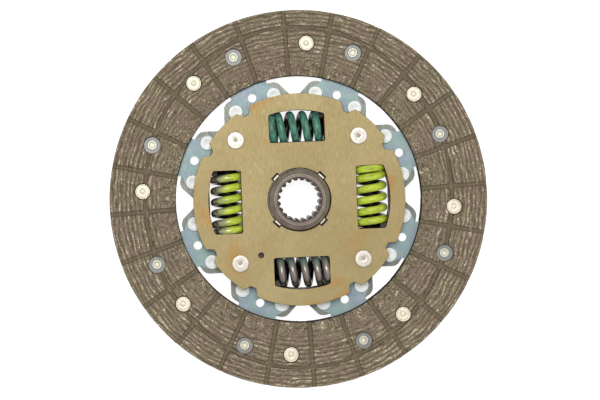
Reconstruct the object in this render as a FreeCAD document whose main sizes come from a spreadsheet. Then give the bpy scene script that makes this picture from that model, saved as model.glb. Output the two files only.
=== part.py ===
import FreeCAD, Part

import math
import os

import Sketcher

# Clutch disc with a torsional damper, 200 mm across. Millimetres and degrees.
# The origin lies on the axis, midway between the two friction rings. +Z is the side of the front plate.
# The long springs lie on the X axis, the short ones on the Y axis and the stop pins between them.

SIZES = (
    # friction rings
    ("facing_outer_radius", 100.0),
    ("facing_inner_radius", 65.0),
    ("facing_thickness", 3.5),
    ("radial_groove_count", 24),
    ("radial_groove_width", 2.0),
    ("radial_groove_start", 2.6),
    ("groove_depth", 0.9),
    ("ring_groove_width", 1.6),
    ("ring_groove_long_radius", 90.2),
    ("ring_groove_short_radius", 81.3),
    ("ring_groove_tilt", 0.8),
    ("ring_groove_offset", 0.9),
    # rivets of the friction rings, with their holes
    ("facing_rivet_circle", 82.6),
    ("facing_rivet_head_radius", 3.95),
    ("facing_rivet_head_height", 0.9),
    ("facing_rivet_shank_radius", 2.0),
    ("facing_rivet_collar_radius", 2.7),
    ("facing_rivet_collar_height", 0.8),
    ("head_seat_clearance", 0.3),
    ("head_seat_web", 1.3),
    ("collar_hole_radius", 4.5),
    ("rivet_hole_clearance", 0.1),
    # cushion segments
    ("segment_count", 8),
    ("segment_angle", 22.5),
    ("segment_thickness", 0.7),
    ("cushion_travel", 0.7),
    ("paddle_rivet_spread", 17.5),
    ("paddle_gap_angle", 3.0),
    ("paddle_inner_radius", 67.0),
    ("paddle_outer_radius", 97.0),
    ("fold_angle", 12.5),
    ("fold_half_width", 2.2),
    ("neck_half_angle", 9.35),
    ("neck_start_radius", 63.0),
    ("foot_inner_distance", 52.0),
    ("foot_outer_distance", 57.5),
    ("foot_half_width", 15.2),
    ("foot_corner_radius", 3.0),
    ("foot_hole_circle", 58.8),
    ("foot_hole_radius", 2.25),
    # rivets of the segments
    ("segment_rivet_circle", 56.7),
    ("segment_rivet_spread", 11.25),
    ("segment_rivet_head_radius", 3.8),
    ("segment_rivet_head_height", 1.5),
    ("segment_rivet_shank_radius", 2.5),
    # the two plates
    ("plate_thickness", 2.0),
    ("front_plate_radius", 55.9),
    ("front_plate_bore_clearance", 0.6),
    ("tab_slot_side_clearance", 0.4),
    ("tab_slot_end_clearance", 0.9),
    ("rivet_notch_radius", 52.1),
    ("rivet_notch_floor_start", 13.8),
    ("rivet_notch_floor_end", 16.8),
    ("rivet_notch_mouth_start", 10.8),
    ("rivet_notch_mouth_end", 19.3),
    ("rivet_notch_corner_radius", 0.8),
    ("locating_hole_circle", 35.6),
    ("locating_hole_angle", 233.3),
    ("locating_hole_radius", 1.3),
    ("rear_plate_radius", 54.6),
    ("lobe_root_distance", 50.0),
    ("lobe_root_half_width", 20.0),
    ("lobe_tip_distance", 61.4),
    ("lobe_tip_half_width", 15.4),
    ("lobe_corner_radius", 5.0),
    ("window_corner_radius", 1.0),
    # damper springs
    ("spring_circle", 37.6),
    ("spring_outer_diameter", 18.2),
    ("spring_wire_diameter", 4.0),
    ("long_spring_length", 33.0),
    ("long_spring_turns", 6),
    ("short_spring_length", 29.0),
    ("short_spring_turns", 5),
    ("spring_start_turn", 0.24),
    ("spring_closed_pitch", 4.16),
    ("spring_ground_depth", 0.6),
    ("spring_plate_clearance", 0.13),
    ("spring_flange_clearance", 0.4),
    # hub
    ("hub_length", 28.0),
    ("hub_rear_reach", 9.0),
    ("hub_barrel_radius", 16.0),
    ("hub_bevel_share", 0.52),
    ("hub_rear_chamfer", 0.8),
    ("flange_rivet_clearance", 0.9),
    ("flange_thickness", 6.4),
    ("flange_window_corner_radius", 0.5),
    ("spline_tooth_count", 20),
    ("spline_pitch_radius", 10.583),
    ("spline_pressure_angle", 30.0),
    ("spline_minor_radius", 10.16),
    ("spline_major_radius", 11.5),
    ("spline_mouth_chamfer", 1.6),
    ("spline_tool_overlap", 0.3),
    # stop pins
    ("stop_pin_circle", 45.8),
    ("stop_pin_shoulder_radius", 4.25),
    ("stop_pin_end_radius", 3.0),
    ("stop_pin_head_radius", 4.5),
    ("stop_pin_head_height", 1.5),
    ("twist_limit", 9.0),
    ("stop_clearance", 0.35),
    ("stop_floor_clearance", 1.15),
    ("stop_notch_corner_radius", 3.0),
    # friction stack between the flange and the plates
    ("bush_flange_thickness", 2.6),
    ("bush_flange_radius", 24.0),
    ("bush_wall", 1.42),
    ("bush_running_clearance", 0.08),
    ("bush_seat_clearance", 0.1),
    ("friction_ring_thickness", 1.0),
    ("friction_ring_clearance", 0.4),
    ("friction_ring_outer_radius", 26.5),
    ("thrust_plate_thickness", 0.8),
    ("tab_hub_clearance", 0.45),
    ("tab_thickness", 0.8),
    ("tab_width", 3.5),
    ("tab_sink", 0.2),
    ("cone_spring_height", 0.8),
    ("cone_spring_sheet", 0.5),
    ("cone_spring_tab_clearance", 0.9),
    ("cone_spring_outer_radius", 26.0),
)

PIN_ANGLE = 45.0
QUARTERS = 4
PAIR = 2
POINTS_A_TURN = 12


class Size(float):
    """A number that keeps the formula it comes from, so that a feature can be bound to it."""

    def __new__(cls, value, formula):
        number = super().__new__(cls, value)
        number.formula = formula
        return number

    def __add__(self, other):
        return combined(self, "+", other, float(self) + float(other))

    def __radd__(self, other):
        return combined(other, "+", self, float(other) + float(self))

    def __sub__(self, other):
        return combined(self, "-", other, float(self) - float(other))

    def __rsub__(self, other):
        return combined(other, "-", self, float(other) - float(self))

    def __mul__(self, other):
        return combined(self, "*", other, float(self) * float(other))

    def __rmul__(self, other):
        return combined(other, "*", self, float(other) * float(self))

    def __truediv__(self, other):
        return combined(self, "/", other, float(self) / float(other))

    def __rtruediv__(self, other):
        return combined(other, "/", self, float(other) / float(self))

    def __neg__(self):
        return combined(0, "-", self, -float(self))


def formula_of(value):
    """The formula of a size, or the plain number as text."""
    return value.formula if isinstance(value, Size) else repr(float(value))


def combined(first, sign, second, value):
    """The size that two numbers give with a sign between them."""
    return Size(value, "(%s %s %s)" % (formula_of(first), sign, formula_of(second)))


def cosine(angle):
    """Cosine of an angle in degrees."""
    return Size(math.cos(math.radians(angle)), "cos(%s)" % formula_of(angle))


def sine(angle):
    """Sine of an angle in degrees."""
    return Size(math.sin(math.radians(angle)), "sin(%s)" % formula_of(angle))


def root(value):
    """Square root of a size."""
    return Size(math.sqrt(value), "sqrt(%s)" % formula_of(value))


def polar(radius, angle):
    """The point at a radius and an angle from the axis."""
    return (radius * cosine(angle), radius * sine(angle))


def turned(x, y, angle):
    """The point x, y turned about the axis by an angle."""
    return (x * cosine(angle) - y * sine(angle), x * sine(angle) + y * cosine(angle))


class SizeSheet:
    """The spreadsheet of driving dimensions, read by name."""

    def __init__(self, document):
        self.sheet = document.addObject("Spreadsheet::Sheet", "Sizes")
        for row, (name, value) in enumerate(SIZES, start=1):
            self.sheet.set("A%d" % row, name)
            self.sheet.set("B%d" % row, str(value))
            self.sheet.setAlias("B%d" % row, name)
        document.recompute()

    def __getattr__(self, name):
        return Size(self.sheet.get(name), "Sizes." + name)


doc = FreeCAD.newDocument("clutch_disc")
size = SizeSheet(doc)
nodes = []

# Heights along the axis, from the rear to the front.
half_gap = (size.segment_thickness + size.cushion_travel) / 2
facing_face = half_gap + size.facing_thickness
rear_plate_inside = -half_gap
rear_plate_outside = rear_plate_inside - size.plate_thickness
foot_face = rear_plate_inside + size.segment_thickness
flange_rear = rear_plate_inside + size.bush_flange_thickness
flange_front = flange_rear + size.flange_thickness
thrust_plate_rear = flange_front + size.friction_ring_thickness
thrust_plate_front = thrust_plate_rear + size.thrust_plate_thickness
front_plate_inside = thrust_plate_front + size.cone_spring_height
front_plate_outside = front_plate_inside + size.plate_thickness
spring_height = (rear_plate_inside + front_plate_inside) / 2
hub_rear = -size.hub_rear_reach
hub_front = hub_rear + size.hub_length

# Sizes that pieces share.
spring_radius = size.spring_outer_diameter / 2
half_plate_gap = (front_plate_inside - rear_plate_inside) / 2
window_half_width = root(spring_radius * spring_radius - half_plate_gap * half_plate_gap)
window_half_width = window_half_width + size.spring_plate_clearance
window_inner = size.spring_circle - window_half_width
window_outer = size.spring_circle + window_half_width
paddle_centre = size.paddle_rivet_spread / 2
paddle_half_angle = (360 / size.segment_count - size.paddle_gap_angle) / 2
head_seat = half_gap + size.head_seat_web
bush_inner = size.hub_barrel_radius + size.bush_running_clearance
bush_outer = bush_inner + size.bush_wall
flange_radius = size.segment_rivet_circle - size.segment_rivet_head_radius - size.flange_rivet_clearance
tab_inner = size.hub_barrel_radius + size.tab_hub_clearance
tab_outer = tab_inner + size.tab_thickness
facing_hole = size.facing_rivet_shank_radius + size.rivet_hole_clearance
segment_hole = size.segment_rivet_shank_radius + size.rivet_hole_clearance
pin_hole = size.stop_pin_end_radius + size.rivet_hole_clearance
stop_half_width = size.stop_pin_circle * sine(size.twist_limit)
stop_half_width = stop_half_width + size.stop_pin_shoulder_radius + size.stop_clearance
stop_floor = size.stop_pin_circle - size.stop_pin_shoulder_radius - size.stop_floor_clearance


def bind(item, name, value):
    """Bind a property of an object to a size."""
    item.setExpression(name, formula_of(value))


def new_body(label):
    """An empty body; it may hold several separate solids."""
    body = doc.addObject("PartDesign::Body", label)
    body.Label = label
    body.AllowCompound = True
    return body


def origin_part(body, role):
    """A plane or an axis of a body's own origin."""
    return next(item for item in body.Origin.OriginFeatures if item.Role == role)


def new_sketch(body, name, height=0, plane="XY_Plane"):
    """A sketch on a plane of the body's origin, lifted off it by a height."""
    sketch = body.newObject("Sketcher::SketchObject", name)
    sketch.AttachmentSupport = [(origin_part(body, plane), "")]
    sketch.MapMode = "FlatFace"
    bind(sketch, "AttachmentOffset.Base.z", height)
    return sketch


def hold_point(sketch, geometry, place, x, y):
    """Hold a point of a sketch at x, y from its origin."""
    for kind, value in (("DistanceX", x), ("DistanceY", y)):
        rule = Sketcher.Constraint(kind, -1, 1, geometry, place, float(value))
        number = sketch.addConstraint(rule)
        bind(sketch, "Constraints[%d]" % number, value)


def hold_radius(sketch, geometry, radius):
    """Hold the radius of a circle or an arc."""
    number = sketch.addConstraint(Sketcher.Constraint("Radius", geometry, float(radius)))
    bind(sketch, "Constraints[%d]" % number, radius)


def draw_circle(sketch, radius, x=0.0, y=0.0):
    """A full circle."""
    centre = FreeCAD.Vector(x, y, 0)
    circle = sketch.addGeometry(Part.Circle(centre, FreeCAD.Vector(0, 0, 1), float(radius)), False)
    hold_point(sketch, circle, 3, x, y)
    hold_radius(sketch, circle, radius)


def arc_between(start, end, radius):
    """The short arc from start to end; a positive radius puts its centre on the left of the way."""
    chord = end - start
    aside = FreeCAD.Vector(-chord.y, chord.x, 0).normalize()
    reach = math.sqrt(radius * radius - chord.Length * chord.Length / 4)
    centre = (start + end) / 2 + aside * math.copysign(reach, radius)
    first, last = (start, end) if radius > 0 else (end, start)
    circle = Part.Circle(centre, FreeCAD.Vector(0, 0, 1), abs(float(radius)))
    return Part.ArcOfCircle(circle, circle.parameter(first), circle.parameter(last))


def draw_outline(sketch, corners):
    """A closed loop through corners (x, y); (x, y, radius) leaves its corner along an arc."""
    ends = []
    count = len(corners)
    for number, corner in enumerate(corners):
        start = FreeCAD.Vector(corner[0], corner[1], 0)
        following = corners[(number + 1) % count]
        end = FreeCAD.Vector(following[0], following[1], 0)
        if len(corner) == 2:
            geometry = sketch.addGeometry(Part.LineSegment(start, end), False)
            ends.append((geometry, 1, 2))
            continue
        geometry = sketch.addGeometry(arc_between(start, end, corner[2]), False)
        ends.append((geometry, 1, 2) if corner[2] > 0 else (geometry, 2, 1))
        hold_radius(sketch, geometry, corner[2] if corner[2] > 0 else -corner[2])
    for number, (geometry, start, end) in enumerate(ends):
        following, its_start, _ = ends[(number + 1) % count]
        sketch.addConstraint(Sketcher.Constraint("Coincident", geometry, end, following, its_start))
        hold_point(sketch, geometry, start, corners[number][0], corners[number][1])


def pad(body, sketch, length):
    """A pad from a sketch along its normal."""
    feature = body.newObject("PartDesign::Pad", sketch.Name + "_pad")
    feature.Profile = sketch
    bind(feature, "Length", length)
    return feature


def pocket(body, sketch, depth, count=1):
    """A pocket below a sketch, repeated round the axis where count is above 1."""
    before = body.Tip
    doc.recompute()
    volume = before.Shape.Volume
    feature = body.newObject("PartDesign::Pocket", sketch.Name + "_pocket")
    feature.Profile = sketch
    bind(feature, "Length", depth)
    body.Tip = feature
    if count > 1:
        feature = polar_pattern(body, feature, count)
    doc.recompute()
    if feature.Shape.Volume >= volume:
        raise ValueError("%s cuts nothing" % sketch.Name)
    return feature


def polar_pattern(body, original, count):
    """Repeat a feature evenly round the Z axis."""
    pattern = body.newObject("PartDesign::PolarPattern", original.Name + "_pattern")
    pattern.Originals = [original]
    pattern.Axis = (origin_part(body, "Z_Axis"), [""])
    pattern.Angle = 360
    bind(pattern, "Occurrences", count)
    body.Tip = pattern
    return pattern


def revolve(body, corners, axis_x=0.0):
    """Turn a profile of (distance, height) corners round an upright line at x = axis_x."""
    sketch = new_sketch(body, body.Name + "_profile", plane="XZ_Plane")
    draw_outline(sketch, [(axis_x + corner[0],) + tuple(corner[1:]) for corner in corners])
    foot = FreeCAD.Vector(axis_x, 0, 0)
    line = sketch.addGeometry(Part.LineSegment(foot, foot + FreeCAD.Vector(0, 1, 0)), True)
    hold_point(sketch, line, 1, axis_x, 0)
    hold_point(sketch, line, 2, axis_x, 1)
    feature = body.newObject("PartDesign::Revolution", body.Name + "_turned")
    feature.Profile = sketch
    feature.ReferenceAxis = (sketch, ["Axis0"])
    feature.Angle = 360
    body.Tip = feature
    return feature


def round_upright_edges(body, points, radius, reach=0.2):
    """Round the upright edges of the body that stand at the given points."""
    doc.recompute()
    carrier = body.Tip
    names = []
    for number, edge in enumerate(carrier.Shape.Edges, start=1):
        first, last = edge.Vertexes[0].Point, edge.Vertexes[-1].Point
        upright = abs(first.z - last.z) > reach and math.hypot(first.x - last.x, first.y - last.y) < 1e-6
        if upright and any(math.hypot(first.x - x, first.y - y) < reach for x, y in points):
            names.append("Edge%d" % number)
    if len(names) < len(points):
        raise ValueError("%s has lost an edge to round" % body.Label)
    feature = body.newObject("PartDesign::Fillet", body.Name + "_rounding_%d" % len(body.Group))
    feature.Base = (carrier, names)
    bind(feature, "Radius", radius)
    body.Tip = feature


def round_the_axis(points, count, start=0.0):
    """Every point of a list, repeated evenly round the axis."""
    step = 360.0 / count
    return [turned(x, y, start + step * number) for number in range(int(count)) for x, y in points]


def turn_node(item, angle):
    """Turn a whole object about the Z axis."""
    item.Placement = FreeCAD.Placement(FreeCAD.Vector(), FreeCAD.Rotation(FreeCAD.Vector(0, 0, 1), angle))


def cut_with(label, body, tool_shape):
    """A node that is a body less a tool shape made in code."""
    tool = doc.addObject("Part::Feature", label + "_tool")
    tool.Shape = tool_shape
    cut = doc.addObject("Part::Cut", label)
    cut.Label = label
    cut.Base = body
    cut.Tool = tool
    body.Label = label + "_blank"
    return cut


# Friction rings

def ring_groove_tool():
    """The oval ring that is cut into the friction face, standing on the plane of the groove's floor."""
    centre = FreeCAD.Vector(0, size.ring_groove_offset, 0)
    half_width = size.ring_groove_width / 2
    loops = []
    for offset in (half_width, -half_width):
        long_radius = size.ring_groove_long_radius + offset
        short_radius = size.ring_groove_short_radius + offset
        oval = Part.Wire(Part.Ellipse(centre, long_radius, short_radius).toShape())
        loops.append(Part.Face(oval).extrude(FreeCAD.Vector(0, 0, facing_face)))
    ring = loops[0].cut(loops[1])
    ring.rotate(centre, FreeCAD.Vector(0, 0, 1), 90 + size.ring_groove_tilt)
    ring.translate(FreeCAD.Vector(0, 0, facing_face - size.groove_depth))
    return ring


def make_facing(label):
    """One friction ring, drawn as the front one."""
    body = new_body(label + "_ring")
    ring = new_sketch(body, "ring", half_gap)
    draw_circle(ring, size.facing_outer_radius)
    draw_circle(ring, size.facing_inner_radius)
    pad(body, ring, size.facing_thickness)

    groove = new_sketch(body, "groove", facing_face)
    half_width = size.radial_groove_width / 2
    inner = size.facing_inner_radius - half_width
    outer = size.facing_outer_radius + half_width
    start = size.radial_groove_start
    rectangle = ((inner, -half_width), (outer, -half_width), (outer, half_width), (inner, half_width))
    draw_outline(groove, [turned(x, y, start) for x, y in rectangle])
    pocket(body, groove, size.groove_depth, size.radial_groove_count)

    head_angle = size.segment_angle + size.paddle_rivet_spread
    web_hole = new_sketch(body, "web_hole", facing_face)
    draw_circle(web_hole, facing_hole, *polar(size.facing_rivet_circle, head_angle))
    pocket(body, web_hole, size.facing_thickness, size.segment_count)
    head_hole = new_sketch(body, "head_hole", facing_face)
    head_radius = size.facing_rivet_head_radius + size.head_seat_clearance
    draw_circle(head_hole, head_radius, *polar(size.facing_rivet_circle, head_angle))
    pocket(body, head_hole, facing_face - head_seat, size.segment_count)
    collar_hole = new_sketch(body, "collar_hole", facing_face)
    draw_circle(collar_hole, size.collar_hole_radius, *polar(size.facing_rivet_circle, size.segment_angle))
    pocket(body, collar_hole, size.facing_thickness, size.segment_count)
    return cut_with(label, body, ring_groove_tool())


def make_facings():
    """The two friction rings: the rear one is the same piece, turned over and round."""
    front = make_facing("facing_front")
    nodes.append(front)
    rear = make_facing("facing_rear")
    over = FreeCAD.Rotation(FreeCAD.Vector(1, 0, 0), 180)
    # Turned over, a head hole at angle a comes to -a, and it belongs at the segment's own line.
    round_by = 2 * size.segment_angle + size.paddle_rivet_spread
    about = FreeCAD.Rotation(FreeCAD.Vector(0, 0, 1), round_by)
    rear.Placement = FreeCAD.Placement(FreeCAD.Vector(), about.multiply(over))
    nodes.append(rear)


def make_facing_rivets(label, side, angle):
    """Eight rivets with their heads sunk in one friction ring; side is 1 at the front."""
    body = new_body(label)
    head_top = head_seat + size.facing_rivet_head_height
    # The sheet of the segment lies against the ring that holds the head.
    collar_seat = half_gap - size.segment_thickness
    collar_end = collar_seat - size.facing_rivet_collar_height
    profile = (
        (0.0, head_top),
        (0.0, collar_end),
        (size.facing_rivet_collar_radius, collar_end),
        (size.facing_rivet_collar_radius, collar_seat),
        (size.facing_rivet_shank_radius, collar_seat),
        (size.facing_rivet_shank_radius, head_seat),
        (size.facing_rivet_head_radius, head_seat),
        (size.facing_rivet_head_radius, head_top),
    )
    corners = [(distance, side * height) for distance, height in profile]
    polar_pattern(body, revolve(body, corners, size.facing_rivet_circle), size.segment_count)
    turn_node(body, angle)
    nodes.append(body)


# Cushion segments

def segment_outline():
    """The outline of a segment, from the foot's corner round to the foot again; 0 degrees is the fold."""
    neck = -size.fold_angle
    lead = neck + paddle_centre - paddle_half_angle
    trail = neck + paddle_centre + paddle_half_angle
    inner = size.paddle_inner_radius
    outer = size.paddle_outer_radius
    middle = neck + paddle_centre
    neck_root = size.neck_start_radius
    width = size.foot_half_width
    return [
        turned(size.foot_inner_distance, -width, neck),
        turned(size.foot_outer_distance, -width, neck),
        polar(neck_root, neck - size.neck_half_angle),
        polar(inner, neck - size.neck_half_angle) + (-inner,),
        polar(inner, lead),
        polar(outer, lead) + (outer,),
        polar(outer, middle) + (outer,),
        polar(outer, trail),
        polar(inner, trail) + (-inner,),
        polar(inner, neck + size.neck_half_angle),
        polar(neck_root, neck + size.neck_half_angle),
        turned(size.foot_outer_distance, width, neck),
        turned(size.foot_inner_distance, width, neck),
    ]


def make_segments():
    """The eight spring steel segments: a sheet, folded beyond the foot, blanked to its outline."""
    body = new_body("cushion_segment_1")
    reach = size.paddle_outer_radius
    fold = size.fold_half_width
    low = rear_plate_inside
    high = low + size.cushion_travel
    sheet = size.segment_thickness
    flat = new_sketch(body, "flat_strip", size.foot_inner_distance / 2, plane="YZ_Plane")
    draw_outline(flat, ((-reach, low), (reach, low), (reach, low + sheet), (-reach, low + sheet)))
    pad(body, flat, size.neck_start_radius - size.foot_inner_distance / 2)
    folded = new_sketch(body, "folded_strip", size.neck_start_radius, plane="YZ_Plane")
    draw_outline(folded, (
        (-reach, low),
        (-fold, low),
        (fold, high),
        (reach, high),
        (reach, high + sheet),
        (fold, high + sheet),
        (-fold, low + sheet),
        (-reach, low + sheet),
    ))
    pad(body, folded, reach)

    blank = new_sketch(body, "blank", high + sheet)
    frame = 2 * reach
    draw_outline(blank, ((-reach, -frame), (frame, -frame), (frame, frame), (-reach, frame)))
    draw_outline(blank, segment_outline())
    pocket(body, blank, high + sheet - low)

    neck = -size.fold_angle
    holes = (
        (segment_hole, size.segment_rivet_circle, neck - size.segment_rivet_spread),
        (segment_hole, size.segment_rivet_circle, neck + size.segment_rivet_spread),
        (size.foot_hole_radius, size.foot_hole_circle, neck),
        (facing_hole, size.facing_rivet_circle, neck),
        (facing_hole, size.facing_rivet_circle, neck + size.paddle_rivet_spread),
    )
    punched = new_sketch(body, "punched", high + sheet)
    for radius, circle, angle in holes:
        draw_circle(punched, radius, *polar(circle, angle))
    pocket(body, punched, high + sheet - low)
    feet = [turned(size.foot_outer_distance, side * size.foot_half_width, neck) for side in (1, -1)]
    round_upright_edges(body, feet, size.foot_corner_radius)
    doc.recompute()

    step = 360 / float(size.segment_count)
    first_angle = float(size.segment_angle + size.fold_angle)
    nodes.append(body)
    for number in range(1, int(size.segment_count)):
        copy = doc.addObject("Part::Feature", "cushion_segment_%d" % (number + 1))
        copy.Shape = body.Shape.copy()
        turn_node(copy, first_angle + step * number)
        nodes.append(copy)
    turn_node(body, first_angle)


def make_segment_rivets():
    """Sixteen rivets that hold the feet of the segments on the rear plate."""
    body = new_body("segment_rivets")
    head = size.segment_rivet_head_radius
    shank = size.segment_rivet_shank_radius
    top = foot_face + size.segment_rivet_head_height
    bottom = rear_plate_outside - size.segment_rivet_head_height
    profile = (
        (0.0, bottom),
        (head, bottom),
        (head, rear_plate_outside),
        (shank, rear_plate_outside),
        (shank, foot_face),
        (head, foot_face),
        (head, top),
        (0.0, top),
    )
    polar_pattern(body, revolve(body, profile, size.segment_rivet_circle), 2 * size.segment_count)
    turn_node(body, size.segment_angle - size.segment_rivet_spread)
    nodes.append(body)


# Plates

def window_corners(length, angle):
    """The outline of a plate's spring window: straight inside, an arc about the axis outside."""
    half = length / 2
    arc = root(window_outer * window_outer + half * half)
    inner_low = turned(window_inner, -half, angle)
    outer_low = turned(window_outer, -half, angle) + (arc,)
    outer_high = turned(window_outer, half, angle)
    inner_high = turned(window_inner, half, angle)
    return [inner_low, outer_low, outer_high, inner_high]


def cut_windows(body, top, depth, corners_of, radius):
    """Cut the four spring windows and round their corners."""
    rounded = []
    for name, length, angle in (("long_window", size.long_spring_length, 0.0),
                                ("short_window", size.short_spring_length, 90.0)):
        window = new_sketch(body, name, top)
        corners = corners_of(length, angle)
        draw_outline(window, corners)
        pocket(body, window, depth, PAIR)
        rounded += round_the_axis([corner[:2] for corner in corners], PAIR)
    round_upright_edges(body, rounded, radius)


def cut_pin_holes(body, top, radius):
    """Cut the four holes for the ends of the stop pins."""
    holes = new_sketch(body, "pin_hole", top)
    draw_circle(holes, radius, *polar(size.stop_pin_circle, PIN_ANGLE))
    pocket(body, holes, size.plate_thickness, QUARTERS)


def rivet_notch(side):
    """The notch beside a stop pin that gives the riveting tool room; side is 1 or -1."""
    mouth = size.front_plate_radius + size.segment_rivet_head_radius
    edge = size.front_plate_radius
    floor = size.rivet_notch_radius
    return [
        polar(mouth, PIN_ANGLE + side * size.rivet_notch_mouth_start),
        polar(edge, PIN_ANGLE + side * size.rivet_notch_mouth_start),
        polar(floor, PIN_ANGLE + side * size.rivet_notch_floor_start),
        polar(floor, PIN_ANGLE + side * size.rivet_notch_floor_end),
        polar(edge, PIN_ANGLE + side * size.rivet_notch_mouth_end),
        polar(mouth, PIN_ANGLE + side * size.rivet_notch_mouth_end),
    ]


def make_front_plate():
    """The front plate: a disc with windows, rivet notches, tab slots and a locating hole."""
    body = new_body("front_plate")
    disc = new_sketch(body, "front_disc", front_plate_inside)
    draw_circle(disc, size.front_plate_radius)
    draw_circle(disc, size.hub_barrel_radius + size.front_plate_bore_clearance)
    pad(body, disc, size.plate_thickness)

    floors = []
    for side in (1, -1):
        notch = new_sketch(body, "rivet_notch", front_plate_outside)
        corners = rivet_notch(side)
        draw_outline(notch, corners)
        pocket(body, notch, size.plate_thickness, QUARTERS)
        floors += round_the_axis(corners[2:4], QUARTERS)
    round_upright_edges(body, floors, size.rivet_notch_corner_radius)

    slot = new_sketch(body, "tab_slot", front_plate_outside)
    half = size.tab_width / 2 + size.tab_slot_side_clearance
    inside = size.hub_barrel_radius / 2
    outside = tab_outer + size.tab_slot_end_clearance
    rectangle = ((inside, -half), (outside, -half), (outside, half), (inside, half))
    draw_outline(slot, [turned(x, y, PIN_ANGLE) for x, y in rectangle])
    pocket(body, slot, size.plate_thickness, QUARTERS)

    hole = new_sketch(body, "locating_hole", front_plate_outside)
    draw_circle(hole, size.locating_hole_radius, *polar(size.locating_hole_circle, size.locating_hole_angle))
    pocket(body, hole, size.plate_thickness)
    cut_pin_holes(body, front_plate_outside, pin_hole)
    cut_windows(body, front_plate_outside, size.plate_thickness, window_corners, size.window_corner_radius)
    nodes.append(body)


def make_rear_plate():
    """The rear plate: a disc with eight lobes under the feet of the segments."""
    body = new_body("rear_plate")
    disc = new_sketch(body, "rear_disc", rear_plate_outside)
    draw_circle(disc, size.rear_plate_radius)
    pad(body, disc, size.plate_thickness)

    lobe = new_sketch(body, "lobe", rear_plate_outside)
    first = size.segment_angle
    tip = size.lobe_tip_half_width
    tip_distance = size.lobe_tip_distance
    corner_radius = root(tip_distance * tip_distance + tip * tip)
    corners = [
        turned(size.lobe_root_distance, -size.lobe_root_half_width, first),
        turned(tip_distance, -tip, first) + (corner_radius,),
        turned(tip_distance, tip, first),
        turned(size.lobe_root_distance, size.lobe_root_half_width, first),
    ]
    draw_outline(lobe, corners)
    lobe_pad = pad(body, lobe, size.plate_thickness)
    polar_pattern(body, lobe_pad, size.segment_count)
    tips = round_the_axis([corners[1][:2], corners[2]], size.segment_count)
    round_upright_edges(body, tips, size.lobe_corner_radius)

    bore = new_sketch(body, "bush_bore", rear_plate_inside)
    draw_circle(bore, bush_outer + size.bush_seat_clearance)
    pocket(body, bore, size.plate_thickness)
    spread = size.segment_rivet_spread
    punched = new_sketch(body, "lobe_holes", rear_plate_inside)
    draw_circle(punched, segment_hole, *polar(size.segment_rivet_circle, first - spread))
    draw_circle(punched, segment_hole, *polar(size.segment_rivet_circle, first + spread))
    draw_circle(punched, size.foot_hole_radius, *polar(size.foot_hole_circle, first))
    pocket(body, punched, size.plate_thickness, size.segment_count)
    cut_pin_holes(body, rear_plate_inside, pin_hole)
    cut_windows(body, rear_plate_inside, size.plate_thickness, window_corners, size.window_corner_radius)
    nodes.append(body)


def make_stop_pins():
    """Four stepped pins: the shoulder keeps the plates apart and meets the flange at full twist."""
    body = new_body("stop_pins")
    head = size.stop_pin_head_radius
    end = size.stop_pin_end_radius
    shoulder = size.stop_pin_shoulder_radius
    top = front_plate_outside + size.stop_pin_head_height
    bottom = rear_plate_outside - size.stop_pin_head_height
    profile = (
        (0.0, bottom),
        (head, bottom),
        (head, rear_plate_outside),
        (end, rear_plate_outside),
        (end, rear_plate_inside),
        (shoulder, rear_plate_inside),
        (shoulder, front_plate_inside),
        (end, front_plate_inside),
        (end, front_plate_outside),
        (head, front_plate_outside),
        (head, top),
        (0.0, top),
    )
    polar_pattern(body, revolve(body, profile, size.stop_pin_circle), QUARTERS)
    turn_node(body, PIN_ANGLE)
    nodes.append(body)


# Hub

def flange_window_corners(length, angle):
    """The outline of a spring window in the hub's flange: a plain rectangle round the whole spring."""
    half = length / 2
    reach = spring_radius + size.spring_flange_clearance
    inner = size.spring_circle - reach
    outer = size.spring_circle + reach
    return [turned(x, y, angle) for x, y in ((inner, -half), (outer, -half), (outer, half), (inner, half))]


def involute(angle):
    """The involute function of a pressure angle in radians."""
    return math.tan(angle) - angle


def space_half_angle(radius):
    """Half the angle that a space of the internal spline takes at a radius, in radians."""
    pressure = math.radians(size.spline_pressure_angle)
    base = size.spline_pitch_radius * math.cos(pressure)
    here = math.acos(base / radius)
    return math.pi / (2 * size.spline_tooth_count) + involute(pressure) - involute(here)


def flank_point(radius, side):
    """A point on one flank of the upright spline space, on the hub's rear face; side is 1 or -1."""
    angle = math.pi / 2 + side * space_half_angle(radius)
    return FreeCAD.Vector(radius * math.cos(angle), radius * math.sin(angle), hub_rear)


def spline_tool():
    """The spaces of the internal involute spline, each a prism with involute flanks."""
    # The prisms start a little inside the bore, so that they open into it.
    inner = size.spline_minor_radius - size.spline_tool_overlap
    outer = size.spline_major_radius
    middle = (inner + outer) / 2
    right = Part.Arc(flank_point(inner, -1), flank_point(middle, -1), flank_point(outer, -1))
    top = Part.Arc(flank_point(outer, -1), FreeCAD.Vector(0, outer, hub_rear), flank_point(outer, 1))
    left = Part.Arc(flank_point(outer, 1), flank_point(middle, 1), flank_point(inner, 1))
    floor = Part.LineSegment(flank_point(inner, 1), flank_point(inner, -1))
    loop = Part.Wire([edge.toShape() for edge in (right, top, left, floor)])
    space = Part.Face(loop).extrude(FreeCAD.Vector(0, 0, size.hub_length))
    spaces = []
    for number in range(int(size.spline_tooth_count)):
        copy = space.copy()
        step = 360.0 / size.spline_tooth_count
        copy.rotate(FreeCAD.Vector(), FreeCAD.Vector(0, 0, 1), step * number)
        spaces.append(copy)
    return Part.makeCompound(spaces)


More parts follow.
